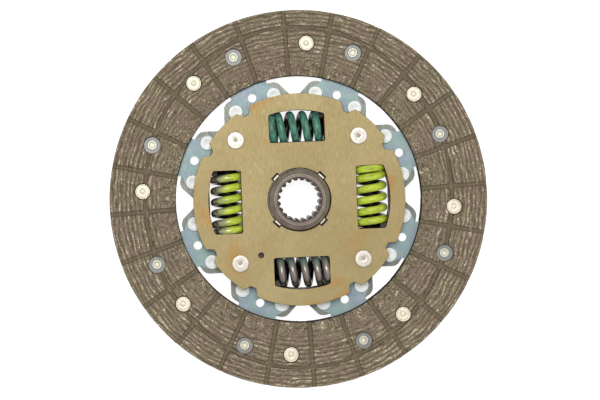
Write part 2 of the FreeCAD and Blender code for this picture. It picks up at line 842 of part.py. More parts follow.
def make_hub():
    """The hub: one forging with a splined barrel and a flange that the springs and pins work on."""
    body = new_body("hub_forging")
    bore = size.spline_minor_radius
    mouth = bore + size.spline_mouth_chamfer
    barrel = size.hub_barrel_radius
    bevel = size.hub_bevel_share * (barrel - mouth)
    chamfer = size.hub_rear_chamfer
    revolve(body, (
        (bore, hub_rear + size.spline_mouth_chamfer),
        (mouth, hub_rear),
        (barrel - chamfer, hub_rear),
        (barrel, hub_rear + chamfer),
        (barrel, flange_rear),
        (flange_radius, flange_rear),
        (flange_radius, flange_front),
        (barrel, flange_front),
        (barrel, hub_front - bevel),
        (barrel - bevel, hub_front),
        (mouth, hub_front),
        (bore, hub_front - size.spline_mouth_chamfer),
    ))
    notch = new_sketch(body, "stop_notch", flange_front)
    outside = flange_radius + stop_half_width
    rectangle = (
        (stop_floor, -stop_half_width),
        (outside, -stop_half_width),
        (outside, stop_half_width),
        (stop_floor, stop_half_width),
    )
    corners = [turned(x, y, PIN_ANGLE) for x, y in rectangle]
    draw_outline(notch, corners)
    pocket(body, notch, size.flange_thickness, QUARTERS)
    floor_corners = round_the_axis([corners[0], corners[3]], QUARTERS)
    round_upright_edges(body, floor_corners, size.stop_notch_corner_radius)
    thickness = size.flange_thickness
    cut_windows(body, flange_front, thickness, flange_window_corners, size.flange_window_corner_radius)
    nodes.append(cut_with("hub", body, spline_tool()))


# Damper springs

def spring_rise(turn, turns, length):
    """Height of the wire's centre after some turns: one closed turn at each end, an even pitch between."""
    closed = size.spring_closed_pitch
    start = size.spring_ground_depth
    open_pitch = (length - 2 * start - 2 * closed) / (turns - 2)
    if turn < 1:
        return start + closed * turn
    if turn > turns - 1:
        return length - start - closed * (turns - turn)
    return start + closed + open_pitch * (turn - 1)


def spring_shape(length, turns):
    """A right-handed coil spring along Z with closed, ground ends, standing on the plane z = 0."""
    wire = size.spring_wire_diameter
    coil = (size.spring_outer_diameter - wire) / 2
    points = []
    for number in range(int(turns * POINTS_A_TURN) + 1):
        turn = number / POINTS_A_TURN
        angle = 360 * (turn - size.spring_start_turn)
        points.append(FreeCAD.Vector(*polar(coil, angle), spring_rise(turn, turns, length)))
    curve = Part.BSplineCurve()
    curve.interpolate(points)
    path = Part.Wire(curve.toShape())
    way = curve.tangent(curve.FirstParameter)[0]
    section = Part.Wire(Part.Circle(points[0], way, wire / 2).toShape())
    sweep = Part.BRepOffsetAPI.MakePipeShell(path)
    sweep.setFrenetMode(True)
    sweep.add(section)
    sweep.build()
    sweep.makeSolid()
    slab = Part.makeCylinder(2 * coil, length)
    return sweep.shape().common(slab)


def make_springs():
    """The four damper springs; each lies across the line from the axis, its first end turned back."""
    places = (
        ("damper_spring_right", size.long_spring_length, size.long_spring_turns, 0),
        ("damper_spring_top", size.short_spring_length, size.short_spring_turns, 90),
        ("damper_spring_left", size.long_spring_length, size.long_spring_turns, 180),
        ("damper_spring_bottom", size.short_spring_length, size.short_spring_turns, 270),
    )
    for label, length, turns, angle in places:
        spring = doc.addObject("Part::Feature", label)
        spring.Shape = spring_shape(length, turns)
        # The coil's own Z runs along -Y, its X along +Z and its Y along -X.
        lying = FreeCAD.Placement(FreeCAD.Matrix(0, -1, 0, 0, 0, 0, -1, 0, 1, 0, 0, 0, 0, 0, 0, 1))
        place = FreeCAD.Vector(size.spring_circle, length / 2, spring_height)
        out = FreeCAD.Placement(place, FreeCAD.Rotation())
        about = FreeCAD.Placement(FreeCAD.Vector(), FreeCAD.Rotation(FreeCAD.Vector(0, 0, 1), angle))
        spring.Placement = about.multiply(out).multiply(lying)
        nodes.append(spring)


# Friction stack

def make_friction_stack():
    """The bush behind the flange; the friction ring, the thrust plate and the cone spring before it."""
    bush = new_body("friction_bush_rear")
    revolve(bush, (
        (bush_inner, rear_plate_outside),
        (bush_outer, rear_plate_outside),
        (bush_outer, rear_plate_inside),
        (size.bush_flange_radius, rear_plate_inside),
        (size.bush_flange_radius, flange_rear),
        (bush_inner, flange_rear),
    ))
    nodes.append(bush)

    ring = new_body("friction_washer_front")
    washer = new_sketch(ring, "washer", flange_front)
    draw_circle(washer, size.friction_ring_outer_radius)
    draw_circle(washer, size.hub_barrel_radius + size.friction_ring_clearance)
    pad(ring, washer, size.friction_ring_thickness)
    nodes.append(ring)

    plate = new_body("thrust_plate")
    sheet = new_sketch(plate, "sheet", thrust_plate_rear)
    draw_circle(sheet, size.friction_ring_outer_radius)
    draw_circle(sheet, tab_inner)
    pad(plate, sheet, size.thrust_plate_thickness)
    tab = new_sketch(plate, "tab", thrust_plate_rear)
    half = size.tab_width / 2
    rectangle = ((tab_inner, -half), (tab_outer, -half), (tab_outer, half), (tab_inner, half))
    draw_outline(tab, [turned(x, y, PIN_ANGLE) for x, y in rectangle])
    tab_pad = pad(plate, tab, front_plate_outside - size.tab_sink - thrust_plate_rear)
    polar_pattern(plate, tab_pad, QUARTERS)
    nodes.append(plate)

    cone = new_body("cone_spring")
    cone_inner = tab_outer + size.cone_spring_tab_clearance
    revolve(cone, (
        (cone_inner, thrust_plate_front),
        (size.cone_spring_outer_radius, front_plate_inside - size.cone_spring_sheet),
        (size.cone_spring_outer_radius, front_plate_inside),
        (cone_inner, thrust_plate_front + size.cone_spring_sheet),
    ))
    nodes.append(cone)


def write_nodes():
    """Check every object and write each node's shape to its own file."""
    doc.recompute()
    for item in doc.Objects:
        if "Invalid" in item.State or "Error" in item.State:
            raise ValueError("%s failed" % item.Label)
    os.makedirs("parts", exist_ok=True)
    for node in nodes:
        shape = node.Shape
        if shape.isNull() or not shape.isValid():
            raise ValueError("%s has no valid shape" % node.Label)
        shape.exportStep("parts/%s.step" % node.Label)
        print("%-26s %3d solids %10.1f mm3" % (node.Label, len(shape.Solids), shape.Volume))


make_hub()
make_front_plate()
make_rear_plate()
make_segments()
make_facings()
make_facing_rivets("facing_rivets_front", 1, size.segment_angle + size.paddle_rivet_spread)
make_facing_rivets("facing_rivets_rear", -1, size.segment_angle)
make_segment_rivets()
make_stop_pins()
make_springs()
make_friction_stack()
write_nodes()
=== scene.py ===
"""Clutch disc with a torsional damper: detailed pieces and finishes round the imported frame."""

import logging
import math
from dataclasses import dataclass
from enum import Enum
from typing import Dict, Iterable, List, Sequence, Tuple

import bmesh
import bpy
from mathutils import Matrix, Vector


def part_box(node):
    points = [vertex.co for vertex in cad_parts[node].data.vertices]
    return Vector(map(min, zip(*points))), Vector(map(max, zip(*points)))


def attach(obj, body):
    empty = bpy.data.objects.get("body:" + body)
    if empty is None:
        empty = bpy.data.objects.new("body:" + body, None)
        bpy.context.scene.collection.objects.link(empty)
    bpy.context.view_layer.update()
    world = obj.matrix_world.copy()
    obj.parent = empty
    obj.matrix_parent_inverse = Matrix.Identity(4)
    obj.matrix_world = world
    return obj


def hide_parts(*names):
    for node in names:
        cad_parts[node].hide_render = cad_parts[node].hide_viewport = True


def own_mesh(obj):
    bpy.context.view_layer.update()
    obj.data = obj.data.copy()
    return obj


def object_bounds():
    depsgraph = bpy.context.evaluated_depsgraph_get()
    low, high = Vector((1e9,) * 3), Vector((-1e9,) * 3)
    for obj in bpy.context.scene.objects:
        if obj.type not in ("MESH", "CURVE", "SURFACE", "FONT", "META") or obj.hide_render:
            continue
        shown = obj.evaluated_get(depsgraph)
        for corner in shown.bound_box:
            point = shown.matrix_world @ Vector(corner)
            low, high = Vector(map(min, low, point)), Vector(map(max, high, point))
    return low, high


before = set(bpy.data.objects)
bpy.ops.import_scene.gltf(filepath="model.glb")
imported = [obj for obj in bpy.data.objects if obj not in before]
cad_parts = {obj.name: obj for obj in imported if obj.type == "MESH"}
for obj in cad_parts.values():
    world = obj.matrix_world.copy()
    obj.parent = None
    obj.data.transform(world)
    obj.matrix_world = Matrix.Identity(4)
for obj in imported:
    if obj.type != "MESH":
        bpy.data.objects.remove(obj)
cad_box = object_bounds()

log = logging.getLogger("clutch_disc")

MM = 0.001
MERGE_DISTANCE = 0.002 * MM
FLAT_ANGLE = math.radians(0.3)
SHARP_ANGLE = math.radians(25.0)
SMOOTH_ANGLE = math.radians(40.0)
FOLD_ANGLE = math.radians(50.0)
SQUARE_ANGLE = math.radians(60.0)
AXIS = Vector((0.0, 0.0, 1.0))
ORIGIN = Vector((0.0, 0.0, 0.0))

Corner = Tuple[float, float]
Span = Tuple[float, float]
Triple = Tuple[float, float, float]
Tree = bpy.types.NodeTree
Node = bpy.types.Node
Socket = bpy.types.NodeSocket
Mesh = bmesh.types.BMesh
Edge = bmesh.types.BMEdge


class Body(Enum):
    """The moving bodies of the frame."""

    HUB = "hub"
    DISC = "disc"
    SPRINGS = "springs"


class Side(Enum):
    """The side of the disc that a rivet's head lies on, as a sign along the axis."""

    FRONT = 1.0
    REAR = -1.0


class PaintCover(Enum):
    """How much of a spring its paint covers."""

    WHOLE = "whole"
    HUB_SIDE = "hub side"


# Materials


def linear_colour(hex_text: str) -> Tuple[float, float, float, float]:
    """Turn an sRGB hex colour to linear values.

    Args:
        hex_text: Six hex digits, such as "BBA974".

    Returns:
        Red, green, blue and an alpha of 1.
    """
    channels = []
    for start in (0, 2, 4):
        value = int(hex_text[start:start + 2], 16) / 255.0
        channels.append(value / 12.92 if value <= 0.04045 else ((value + 0.055) / 1.055) ** 2.4)
    return (*channels, 1.0)


def add(tree: Tree, kind: str, inputs: Dict, **settings) -> Node:
    """Add a shader node with its settings, values and links.

    Args:
        tree: The material's node tree.
        kind: The node's type without its prefix, such as "TexNoise".
        inputs: What each input gets, by name or number: a value, an output socket or a node, which
            stands for its first output in use.
        **settings: The node's own settings.

    Returns:
        The new node.
    """
    node = tree.nodes.new("ShaderNode" + kind)
    for name, value in settings.items():
        setattr(node, name, value)
    for key, value in inputs.items():
        if isinstance(value, Node):
            value = next(output for output in value.outputs if output.enabled)
        if isinstance(value, Socket):
            tree.links.new(value, node.inputs[key])
        else:
            node.inputs[key].default_value = value
    return node


def between(span: Span) -> Dict[str, float]:
    """The range inputs that turn the two ends of a span to 0 and 1."""
    return {"From Min": span[0], "From Max": span[1]}


def onto(span: Span) -> Dict[str, float]:
    """The range inputs that turn 0 and 1 to the two ends of a span."""
    return {"To Min": span[0], "To Max": span[1]}


def layered(tree: Tree, base: str, coats: Iterable[Tuple[Node, str]]) -> Node:
    """Lay colours over each other like coats.

    Args:
        tree: The material's node tree.
        base: The lowest colour, as hex.
        coats: How much of each further coat shows and its colour, from the lowest up.

    Returns:
        The colour that is seen.
    """
    # A Mix node has inputs for each kind of value; these are the numbers of those for colours.
    factor, first, second = 0, 6, 7
    seen = linear_colour(base)
    for share, coat in coats:
        seen = add(tree, "Mix", {factor: share, first: seen, second: linear_colour(coat)}, data_type="RGBA")
    return seen


def axis_distance(tree: Tree, place: Socket) -> Tuple[Node, Node]:
    """Measure how far a point lies from the disc's axis.

    Args:
        tree: The material's node tree.
        place: The point.

    Returns:
        The point moved to the plane z = 0, and its distance from the axis.
    """
    flat = add(tree, "VectorMath", {0: place, 1: (1.0, 1.0, 0.0)}, operation="MULTIPLY")
    return flat, add(tree, "VectorMath", {0: flat}, operation="LENGTH")


@dataclass(frozen=True)
class Finish:
    """A finish: what a surface is made of and how it was made."""

    name: str

    def material(self) -> bpy.types.Material:
        """Find the finish's material, or make it when it is first asked for.

        Returns:
            The material.
        """
        known = bpy.data.materials.get(self.name)
        if known is not None:
            return known
        material = bpy.data.materials.new(self.name)
        material.use_nodes = True
        tree = material.node_tree
        tree.nodes.clear()
        place = add(tree, "TexCoord", {}).outputs["Object"]
        shader = add(tree, "BsdfPrincipled", self.draw(tree, place))
        add(tree, "OutputMaterial", {"Surface": shader})
        return material

    def draw(self, tree: Tree, place: Socket) -> Dict:
        """Draw the finish's pattern.

        Args:
            tree: The material's node tree.
            place: The point on the piece.

        Returns:
            The shader's inputs.
        """
        raise NotImplementedError(self.name)


@dataclass(frozen=True)
class SatinMetal(Finish):
    """Metal with a satin surface: blotches of a tint, stains, fine grain and dark specks of grime.

    Where a radius for it is set, the metal past it is painted grey as shade under what covers it; inside
    another, its faces above a set height are painted dark as shade.
    Real grain is finer than a pixel of the view, so it is drawn coarser.
    """

    colour: str = "8A8A86"
    tint: str = "7A7A76"
    tint_span: Span = (0.36, 0.64)
    dirt_and_shade: str = "3A352E"
    metallic: float = 0.85
    roughness: Span = (0.34, 0.5)
    blotch: float = 18.0 * MM
    stain: str = "9A7442"
    stain_size: float = 21.0 * MM
    stain_span: Span = (0.56, 0.72)
    stain_share: float = 0.0
    stain_radius: float = 0.0
    inner_shade_radius: float = 0.0
    inner_shade_height: float = 0.0
    covered_shade: str = "8E8E8A"
    covered_shade_radius: float = 0.0
    speck: float = 1.1 * MM
    speck_span: Span = (0.62, 0.74)
    speck_share: float = 0.1
    grain: Triple = (0.35 * MM, 3.5 * MM, 0.35 * MM)
    grain_span: Span = (0.3, 0.7)
    bump: float = 0.012 * MM

    def draw(self, tree: Tree, place: Socket) -> Dict:
        """Draw the tint, the stains, the specks and the grain.

        Args:
            tree: The material's node tree.
            place: The point on the piece.

        Returns:
            The shader's inputs.
        """
        _, radius = axis_distance(tree, place)
        blotch = add(tree, "TexNoise", {
            "Vector": place, "Scale": 1 / self.blotch, "Detail": 3.0, "Roughness": 0.55})
        tinted = add(tree, "MapRange", {"Value": blotch, **between(self.tint_span)})
        outward = add(tree, "MapRange", {
            "Value": radius, "From Min": self.stain_radius, "From Max": self.stain_radius + self.stain_size,
            "To Max": self.stain_share})
        patches = add(tree, "TexNoise", {
            "Vector": place, "Scale": 1 / self.stain_size, "Detail": 1.5, "Distortion": 0.8})
        stained = add(tree, "MapRange", {"Value": patches, **between(self.stain_span), "To Max": outward},
                      interpolation_type="SMOOTHSTEP")
        spots = add(tree, "TexNoise", {
            "Vector": place, "Scale": 1 / self.speck, "Detail": 4.0, "Roughness": 0.6})
        specked = add(tree, "MapRange", {
            "Value": spots, **between(self.speck_span), "To Max": self.speck_share})
        coats = [(tinted, self.tint), (stained, self.stain), (specked, self.dirt_and_shade)]
        # Painted shade: past this radius the metal is painted grey, as the shade under what covers it.
        if self.covered_shade_radius:
            covered_shade_mask = add(tree, "Math", {0: radius, 1: self.covered_shade_radius}, operation="GREATER_THAN")
            coats.append((covered_shade_mask, self.covered_shade))
        # Painted shade: inside this radius, faces above this height are painted dark, as the shade on a
        # plate's inner face.
        if self.inner_shade_radius:
            inside = add(tree, "Math", {0: radius, 1: self.inner_shade_radius}, operation="LESS_THAN")
            height = add(tree, "SeparateXYZ", {"Vector": place}).outputs["Z"]
            above = add(tree, "Math", {0: height, 1: self.inner_shade_height}, operation="GREATER_THAN")
            inner_face_shade = add(tree, "Math", {0: inside, 1: above}, operation="MULTIPLY")
            coats.append((inner_face_shade, self.dirt_and_shade))
        stretched = add(tree, "Mapping", {"Vector": place, "Scale": [1 / size for size in self.grain]})
        grain = add(tree, "TexNoise", {"Vector": stretched, "Scale": 1.0, "Detail": 3.0, "Roughness": 0.6})
        rough = add(tree, "MapRange", {
            "Value": grain, **between(self.grain_span), **onto(self.roughness)})
        bump = add(tree, "Bump", {"Height": grain, "Distance": self.bump})
        return {"Base Color": layered(tree, self.colour, coats), "Metallic": self.metallic,
                "Roughness": rough, "Normal": bump}


@dataclass(frozen=True)
class FrictionLining(Finish):
    """Moulded friction lining: a brown resin with light yarn in it, matt and slightly rough.

    The yarn runs round the ring near the rim and lies in loose curls nearer the bore. The grooves'
    floors are painted darker, their walls darkest and the inner edge near black, all as painted shade.
    """

    colour: str = "82775C"
    warm: str = "837160"
    blotch: float = 11.0 * MM
    blotch_span: Span = (0.38, 0.62)
    shade: str = "5E5140"
    shade_share: float = 0.92
    yarn: str = "B9AA8B"
    yarn_share: float = 0.82
    yarn_long: float = 7.5 * MM
    yarn_wide: float = 2.3 * MM
    yarn_sway: float = 1.7
    line_span: Span = (0.35, 0.46)
    trough_span: Span = (0.26, 0.08)
    sway: float = 1.9 * MM
    sway_long: float = 9.0 * MM
    curl: float = 5.0 * MM
    curl_lines: float = 6.0
    curl_radii: Span = (71.0 * MM, 79.0 * MM)
    ring_shares: Span = (0.1, 0.96)
    dash: float = 3.0 * MM
    dash_span: Span = (0.46, 0.6)
    bright_yarn: str = "E6DCC6"
    grit: float = 0.75 * MM
    fleck_span: Span = (0.5, 0.62)
    fleck_share: float = 0.13
    # The groove and wall colours are painted shade: darker groove floors and darkest walls.
    groove: str = "736750"
    groove_shade_share: float = 0.75
    floor_height: float = 3.35 * MM
    face_height: float = 4.18 * MM
    wall: str = "251E16"
    wall_shade_share: float = 0.95
    wall_fade: float = 0.22 * MM
    mid_radius: float = 82.5 * MM
    outer_radius: float = 99.3 * MM
    # The rim colour is painted shade along the lining's inner edge.
    rim: str = "211C17"
    rim_shade_share: float = 0.85
    rim_radius: float = 65.3 * MM
    rim_shade_fade: float = 0.25 * MM
    line_relief: float = 0.6
    bump: float = 0.12 * MM
    roughness: float = 0.82
    specular: float = 0.3

    def draw(self, tree: Tree, place: Socket) -> Dict:
        """Draw the base, the yarn round the ring, the curls, the flecks and the grooves.

        Args:
            tree: The material's node tree.
            place: The point on the piece.

        Returns:
            The shader's inputs.
        """
        flat, radius = axis_distance(tree, place)
        blotch = add(tree, "TexNoise", {"Vector": place, "Scale": 1 / self.blotch, "Detail": 3.0})
        warmed = add(tree, "MapRange", {"Value": blotch, **between(self.blotch_span)})

        # A point on a cylinder whose girth counts yarn lengths and whose height counts yarn widths.
        wave = add(tree, "TexNoise", {"Vector": place, "Scale": 1 / self.sway_long, "Detail": 1.0})
        shift = add(tree, "Math", {0: wave, 1: self.sway}, operation="MULTIPLY")
        bent = add(tree, "Math", {0: radius, 1: shift}, operation="ADD")
        across = add(tree, "Math", {0: bent, 1: 1 / self.yarn_wide}, operation="MULTIPLY")
        way = add(tree, "VectorMath", {0: flat}, operation="NORMALIZE")
        girth = add(tree, "VectorMath", {
            0: way, "Scale": self.mid_radius / self.yarn_long}, operation="SCALE")
        lift = add(tree, "CombineXYZ", {"Z": across})
        wound = add(tree, "VectorMath", {0: girth, 1: lift}, operation="ADD")
        strands = add(tree, "TexNoise", {"Vector": wound, "Scale": 1.0})
        curls = add(tree, "TexNoise", {
            "Vector": place, "Scale": 1 / self.curl, "Detail": 1.5, "Distortion": 0.8})
        ring_count = add(tree, "Math", {0: strands, 1: self.yarn_sway, 2: across}, operation="MULTIPLY_ADD")
        curl_count = add(tree, "Math", {0: curls, 1: self.curl_lines}, operation="MULTIPLY")
        ring_wave, curl_wave = (
            add(tree, "Math", {0: count, 1: 0.5}, operation="PINGPONG") for count in (ring_count, curl_count))
        outer = add(tree, "MapRange", {"Value": bent, **between(self.curl_radii), **onto(self.ring_shares)})
        yarn = add(tree, "Mix", {"Factor": outer, "A": curl_wave, "B": ring_wave}, data_type="FLOAT")
        line, trough = (
            add(tree, "MapRange", {"Value": yarn, **between(span), "To Max": share},
                interpolation_type="SMOOTHSTEP")
            for span, share in ((self.line_span, 1.0), (self.trough_span, self.shade_share)))
        breaks = add(tree, "TexNoise", {"Vector": place, "Scale": 1 / self.dash})
        dashed = add(tree, "MapRange", {"Value": breaks, **between(self.dash_span)})
        streak = add(tree, "Math", {0: line, 1: dashed}, operation="MULTIPLY")
        light = add(tree, "Math", {0: streak, 1: self.yarn_share}, operation="MULTIPLY")
        grit = add(tree, "TexNoise", {"Vector": place, "Scale": 1 / self.grit})
        fleck = add(tree, "MapRange", {"Value": grit, **between(self.fleck_span)})
        spread = add(tree, "MapRange", {"Value": streak, "To Min": self.fleck_share})
        glint = add(tree, "Math", {0: spread, 1: fleck}, operation="MULTIPLY")

        # Painted shade: the groove floors are darkened and their walls darkest.
        height = add(tree, "SeparateXYZ", {"Vector": place}).outputs["Z"]
        depth = add(tree, "Math", {0: height}, operation="ABSOLUTE")
        groove_shade = add(tree, "MapRange", {
            "Value": depth, "From Min": self.face_height, "From Max": self.floor_height,
            "To Max": self.groove_shade_share})
        middle = (self.face_height + self.floor_height) / 2
        half_wall = self.face_height - middle
        off_middle = add(tree, "Math", {0: depth, 1: middle}, operation="SUBTRACT")
        off_middle = add(tree, "Math", {0: off_middle}, operation="ABSOLUTE")
        on_wall = add(tree, "MapRange", {
            "Value": off_middle, "From Min": half_wall, "From Max": half_wall - self.wall_fade,
            "To Max": self.wall_shade_share})
        within = add(tree, "Math", {0: radius, 1: self.outer_radius}, operation="LESS_THAN")
        wall_shade = add(tree, "Math", {0: on_wall, 1: within}, operation="MULTIPLY")
        # Painted shade: the inner edge is painted near black.
        rim_shade = add(tree, "MapRange", {
            "Value": radius, "From Min": self.rim_radius + self.rim_shade_fade, "From Max": self.rim_radius,
            "To Max": self.rim_shade_share})
        colour = layered(tree, self.colour, (
            (warmed, self.warm), (trough, self.shade), (light, self.yarn), (glint, self.bright_yarn),
            (groove_shade, self.groove), (wall_shade, self.wall), (rim_shade, self.rim)))
        relief = add(tree, "Math", {0: line, 1: self.line_relief, 2: grit}, operation="MULTIPLY_ADD")
        bump = add(tree, "Bump", {"Height": relief, "Distance": self.bump})
        return {"Base Color": colour, "Roughness": self.roughness, "Specular IOR Level": self.specular,
                "Normal": bump}


@dataclass(frozen=True)
class TurnedSteel(Finish):
    """Forged steel turned in a lathe: fine rings round the axis, a brownish oiled film, and painted shade."""

    colour: str = "9B9082"
    tint: str = "84796D"
    film: float = 6.0 * MM
    film_span: Span = (0.35, 0.65)
    # The next colour is painted shade, near the bore mouth and on the flange between the plates.
    painted_shade: str = "3A271C"
    mouth_shade_radius: float = 14.2 * MM
    mouth_radius: float = 13.0 * MM
    mouth_shade: float = 0.6
    flange_radius: float = 18.0 * MM
    flange_fade: float = 1.0 * MM
    flange_shade: float = 0.95
    metallic: float = 0.8
    shaded_metallic: float = 0.1
    ring: float = 0.3 * MM
    ring_span: Span = (0.3, 0.7)
    roughness: Span = (0.32, 0.5)
    bump: float = 0.02 * MM

    def draw(self, tree: Tree, place: Socket) -> Dict:
        """Draw the oil film and the rings of the tool.

        Args:
            tree: The material's node tree.
            place: The point on the piece.

        Returns:
            The shader's inputs.
        """
        _, radius = axis_distance(tree, place)
        height = add(tree, "SeparateXYZ", {"Vector": place}).outputs["Z"]
        along = add(tree, "Math", {0: radius, 1: height}, operation="ADD")
        count = add(tree, "Math", {0: along, 1: 1 / self.ring}, operation="MULTIPLY")
        line = add(tree, "CombineXYZ", {"X": count})
        rings = add(tree, "TexNoise", {"Vector": line, "Scale": 1.0})
        film = add(tree, "TexNoise", {"Vector": place, "Scale": 1 / self.film, "Detail": 4.0})
        tinted = add(tree, "MapRange", {"Value": film, **between(self.film_span)})
        # Painted shade: darker towards the bore mouth and on the flange between the plates, which also shine
        # less there.
        inside = add(tree, "MapRange", {
            "Value": radius, "From Min": self.mouth_shade_radius, "From Max": self.mouth_radius,
            "To Max": self.mouth_shade})
        outside = add(tree, "MapRange", {
            "Value": radius, "From Min": self.flange_radius,
            "From Max": self.flange_radius + self.flange_fade, "To Max": self.flange_shade})
        shade_mask = add(tree, "Math", {0: inside, 1: outside}, operation="MAXIMUM")
        shine = add(tree, "MapRange", {"Value": shade_mask, "To Min": self.metallic, "To Max": self.shaded_metallic})
        rough = add(tree, "MapRange", {
            "Value": rings, **between(self.ring_span), **onto(self.roughness)})
        bump = add(tree, "Bump", {"Height": rings, "Distance": self.bump})
        coats = ((tinted, self.tint), (shade_mask, self.painted_shade))
        return {"Base Color": layered(tree, self.colour, coats), "Metallic": shine, "Roughness": rough,
                "Normal": bump}


@dataclass(frozen=True)
class SpringPaint(Finish):
    """Oiled spring steel with gloss paint brushed on, thin where the brush left it.

    The coil's rear side, below its axis, is painted near black as shade.
    """

    paint: str = "CBDE44"
    thin_paint: str = "9DAE33"
    thin_span: Span = (0.42, 0.68)
    steel: str = "B5B2A6"
    # The next colour is painted shade on the coil's rear side, between these two heights.
    painted_shade: str = "161412"
    front_height: float = 6.0 * MM
    rear_height: float = 2.5 * MM
    cover: PaintCover = PaintCover.WHOLE
    chip_span: Span = (0.72, 0.8)
    chip_share: float = 0.2
    edge_radius: float = 39.0 * MM
    edge_blur: float = 3.0 * MM
    strokes: Triple = (7.0 * MM, 1.3 * MM, 1.3 * MM)
    roughness: float = 0.36
    bump: float = 0.05 * MM

    def draw(self, tree: Tree, place: Socket) -> Dict:
        """Draw the paint, where it covers the wire, over the oiled steel.

        Args:
            tree: The material's node tree.
            place: The point on the piece.

        Returns:
            The shader's inputs.
        """
        stretched = add(tree, "Mapping", {"Vector": place, "Scale": [1 / size for size in self.strokes]})
        brush = add(tree, "TexNoise", {"Vector": stretched, "Scale": 1.0, "Detail": 3.0, "Roughness": 0.6})
        thin = add(tree, "MapRange", {"Value": brush, **between(self.thin_span)})
        if self.cover is PaintCover.WHOLE:
            bare = add(tree, "MapRange", {
                "Value": brush, **between(self.chip_span), "To Max": self.chip_share})
        else:
            _, radius = axis_distance(tree, place)
            ragged = add(tree, "Math", {0: brush, 1: 2 * self.edge_blur, 2: radius}, operation="MULTIPLY_ADD")
            bare = add(tree, "MapRange", {
                "Value": ragged, "From Min": self.edge_radius,
                "From Max": self.edge_radius + self.edge_blur})
        height = add(tree, "SeparateXYZ", {"Vector": place}).outputs["Z"]
        # Painted shade: the coil's rear side, below its axis, is painted near black.
        far_side_shade = add(tree, "MapRange", {
            "Value": height, "From Min": self.front_height, "From Max": self.rear_height})
        bump = add(tree, "Bump", {"Height": brush, "Distance": self.bump})
        coats = ((thin, self.thin_paint), (bare, self.steel), (far_side_shade, self.painted_shade))
        return {"Base Color": layered(tree, self.paint, coats), "Metallic": bare,
                "Roughness": self.roughness, "Normal": bump}


@dataclass(frozen=True)
class MouldedPlastic(Finish):
    """Moulded or pressed dark material, matt, with a fine grain."""

    colour: str = "2A2826"
    tint: str = "3A3632"
    grain: float = 0.4 * MM
    grain_span: Span = (0.35, 0.65)
    roughness: float = 0.6
    bump: float = 0.03 * MM

    def draw(self, tree: Tree, place: Socket) -> Dict:
        """Draw the grain.

        Args:
            tree: The material's node tree.
            place: The point on the piece.

        Returns:
            The shader's inputs.
        """
        grain = add(tree, "TexNoise", {"Vector": place, "Scale": 1 / self.grain, "Detail": 3.0})
        tinted = add(tree, "MapRange", {"Value": grain, **between(self.grain_span)})
        bump = add(tree, "Bump", {"Height": grain, "Distance": self.bump})
        return {"Base Color": layered(tree, self.colour, [(tinted, self.tint)]),
                "Roughness": self.roughness, "Normal": bump}


# Friction lining is yarn and resin wound and pressed into a ring: a matt brown with light threads.
LINING = FrictionLining("friction_lining")
# Zinc with a yellow passivation looks like a matt gold that drifts to orange towards its rim.
GOLD_ZINC = SatinMetal(
    "yellow_passivated_zinc", colour="9B8B62", tint="928258", metallic=0.6, roughness=(0.42, 0.56),
    blotch=24.0 * MM, stain="A07436", stain_share=0.6, stain_radius=27.0 * MM)
GOLD_EDGE = SatinMetal(
    "yellow_zinc_edge", colour="A6935F", tint="958251", metallic=0.8, roughness=(0.28, 0.42),
    blotch=6.0 * MM)
# Cold rolled steel, oiled, is a neutral grey with a soft sheen.
# Its inner face near the hub is painted dark brown as shade.
PLATE_STEEL = SatinMetal(
    "oiled_plate_steel", colour="6C6E66", tint="5F615A", dirt_and_shade="3A2117", roughness=(0.32, 0.48),
    inner_shade_radius=52.0 * MM, inner_shade_height=-0.8 * MM)
PLATE_EDGE = SatinMetal("plate_steel_edge", colour="B4B9B9", tint="9CA1A2", roughness=(0.26, 0.4))
# Spring steel tempered to blue keeps a pale grey blue oxide skin; under the lining it is painted grey as
# shade.
BLUED_STEEL = SatinMetal(
    "blue_tempered_steel", colour="849B96", tint="7F8E98", metallic=0.35, roughness=(0.36, 0.5),
    blotch=8.0 * MM, stain="9F9CB1", stain_size=9.0 * MM, stain_share=0.5, covered_shade_radius=65.5 * MM)
BLUED_EDGE = SatinMetal(
    "blue_tempered_edge", colour="B4C5C4", tint="9CB3B5", metallic=0.7, roughness=(0.3, 0.44),
    blotch=5.0 * MM)
# Rivets are plated and headed cold, so they are pale, satin and a little dented.
RIVET_SKIN = {"blotch": 3.0 * MM, "grain": (0.5 * MM, 0.5 * MM, 0.5 * MM)}
CREAM_RIVET = SatinMetal(
    "cream_plated_rivet", colour="EAE2CC", tint="DCD2B8", metallic=0.3, **RIVET_SKIN)
COLLAR_ZINC = SatinMetal(
    "rolled_rivet_collar", colour="D6D6C8", tint="C3C4B6", metallic=0.3, **RIVET_SKIN)
PALE_RIVET = SatinMetal(
    "pale_plated_rivet", colour="EBEEEA", tint="E0E3DF", metallic=0.12, roughness=(0.36, 0.44),
    speck_share=0.04, bump=0.005 * MM, **RIVET_SKIN)
PIN_ZINC = SatinMetal(
    "zinc_plated_pin", colour="CEC8BC", tint="BCB3A7", metallic=0.4, roughness=(0.28, 0.44),
    **RIVET_SKIN)
# Forged steel turned in a lathe keeps fine rings that glint through a brownish oiled film.
# Near the bore and on the flange it is painted dark as shade.
HUB_STEEL = TurnedSteel("turned_hub_steel")
HUB_EDGE = TurnedSteel("turned_hub_edge", colour="8C8275", tint="776E63")
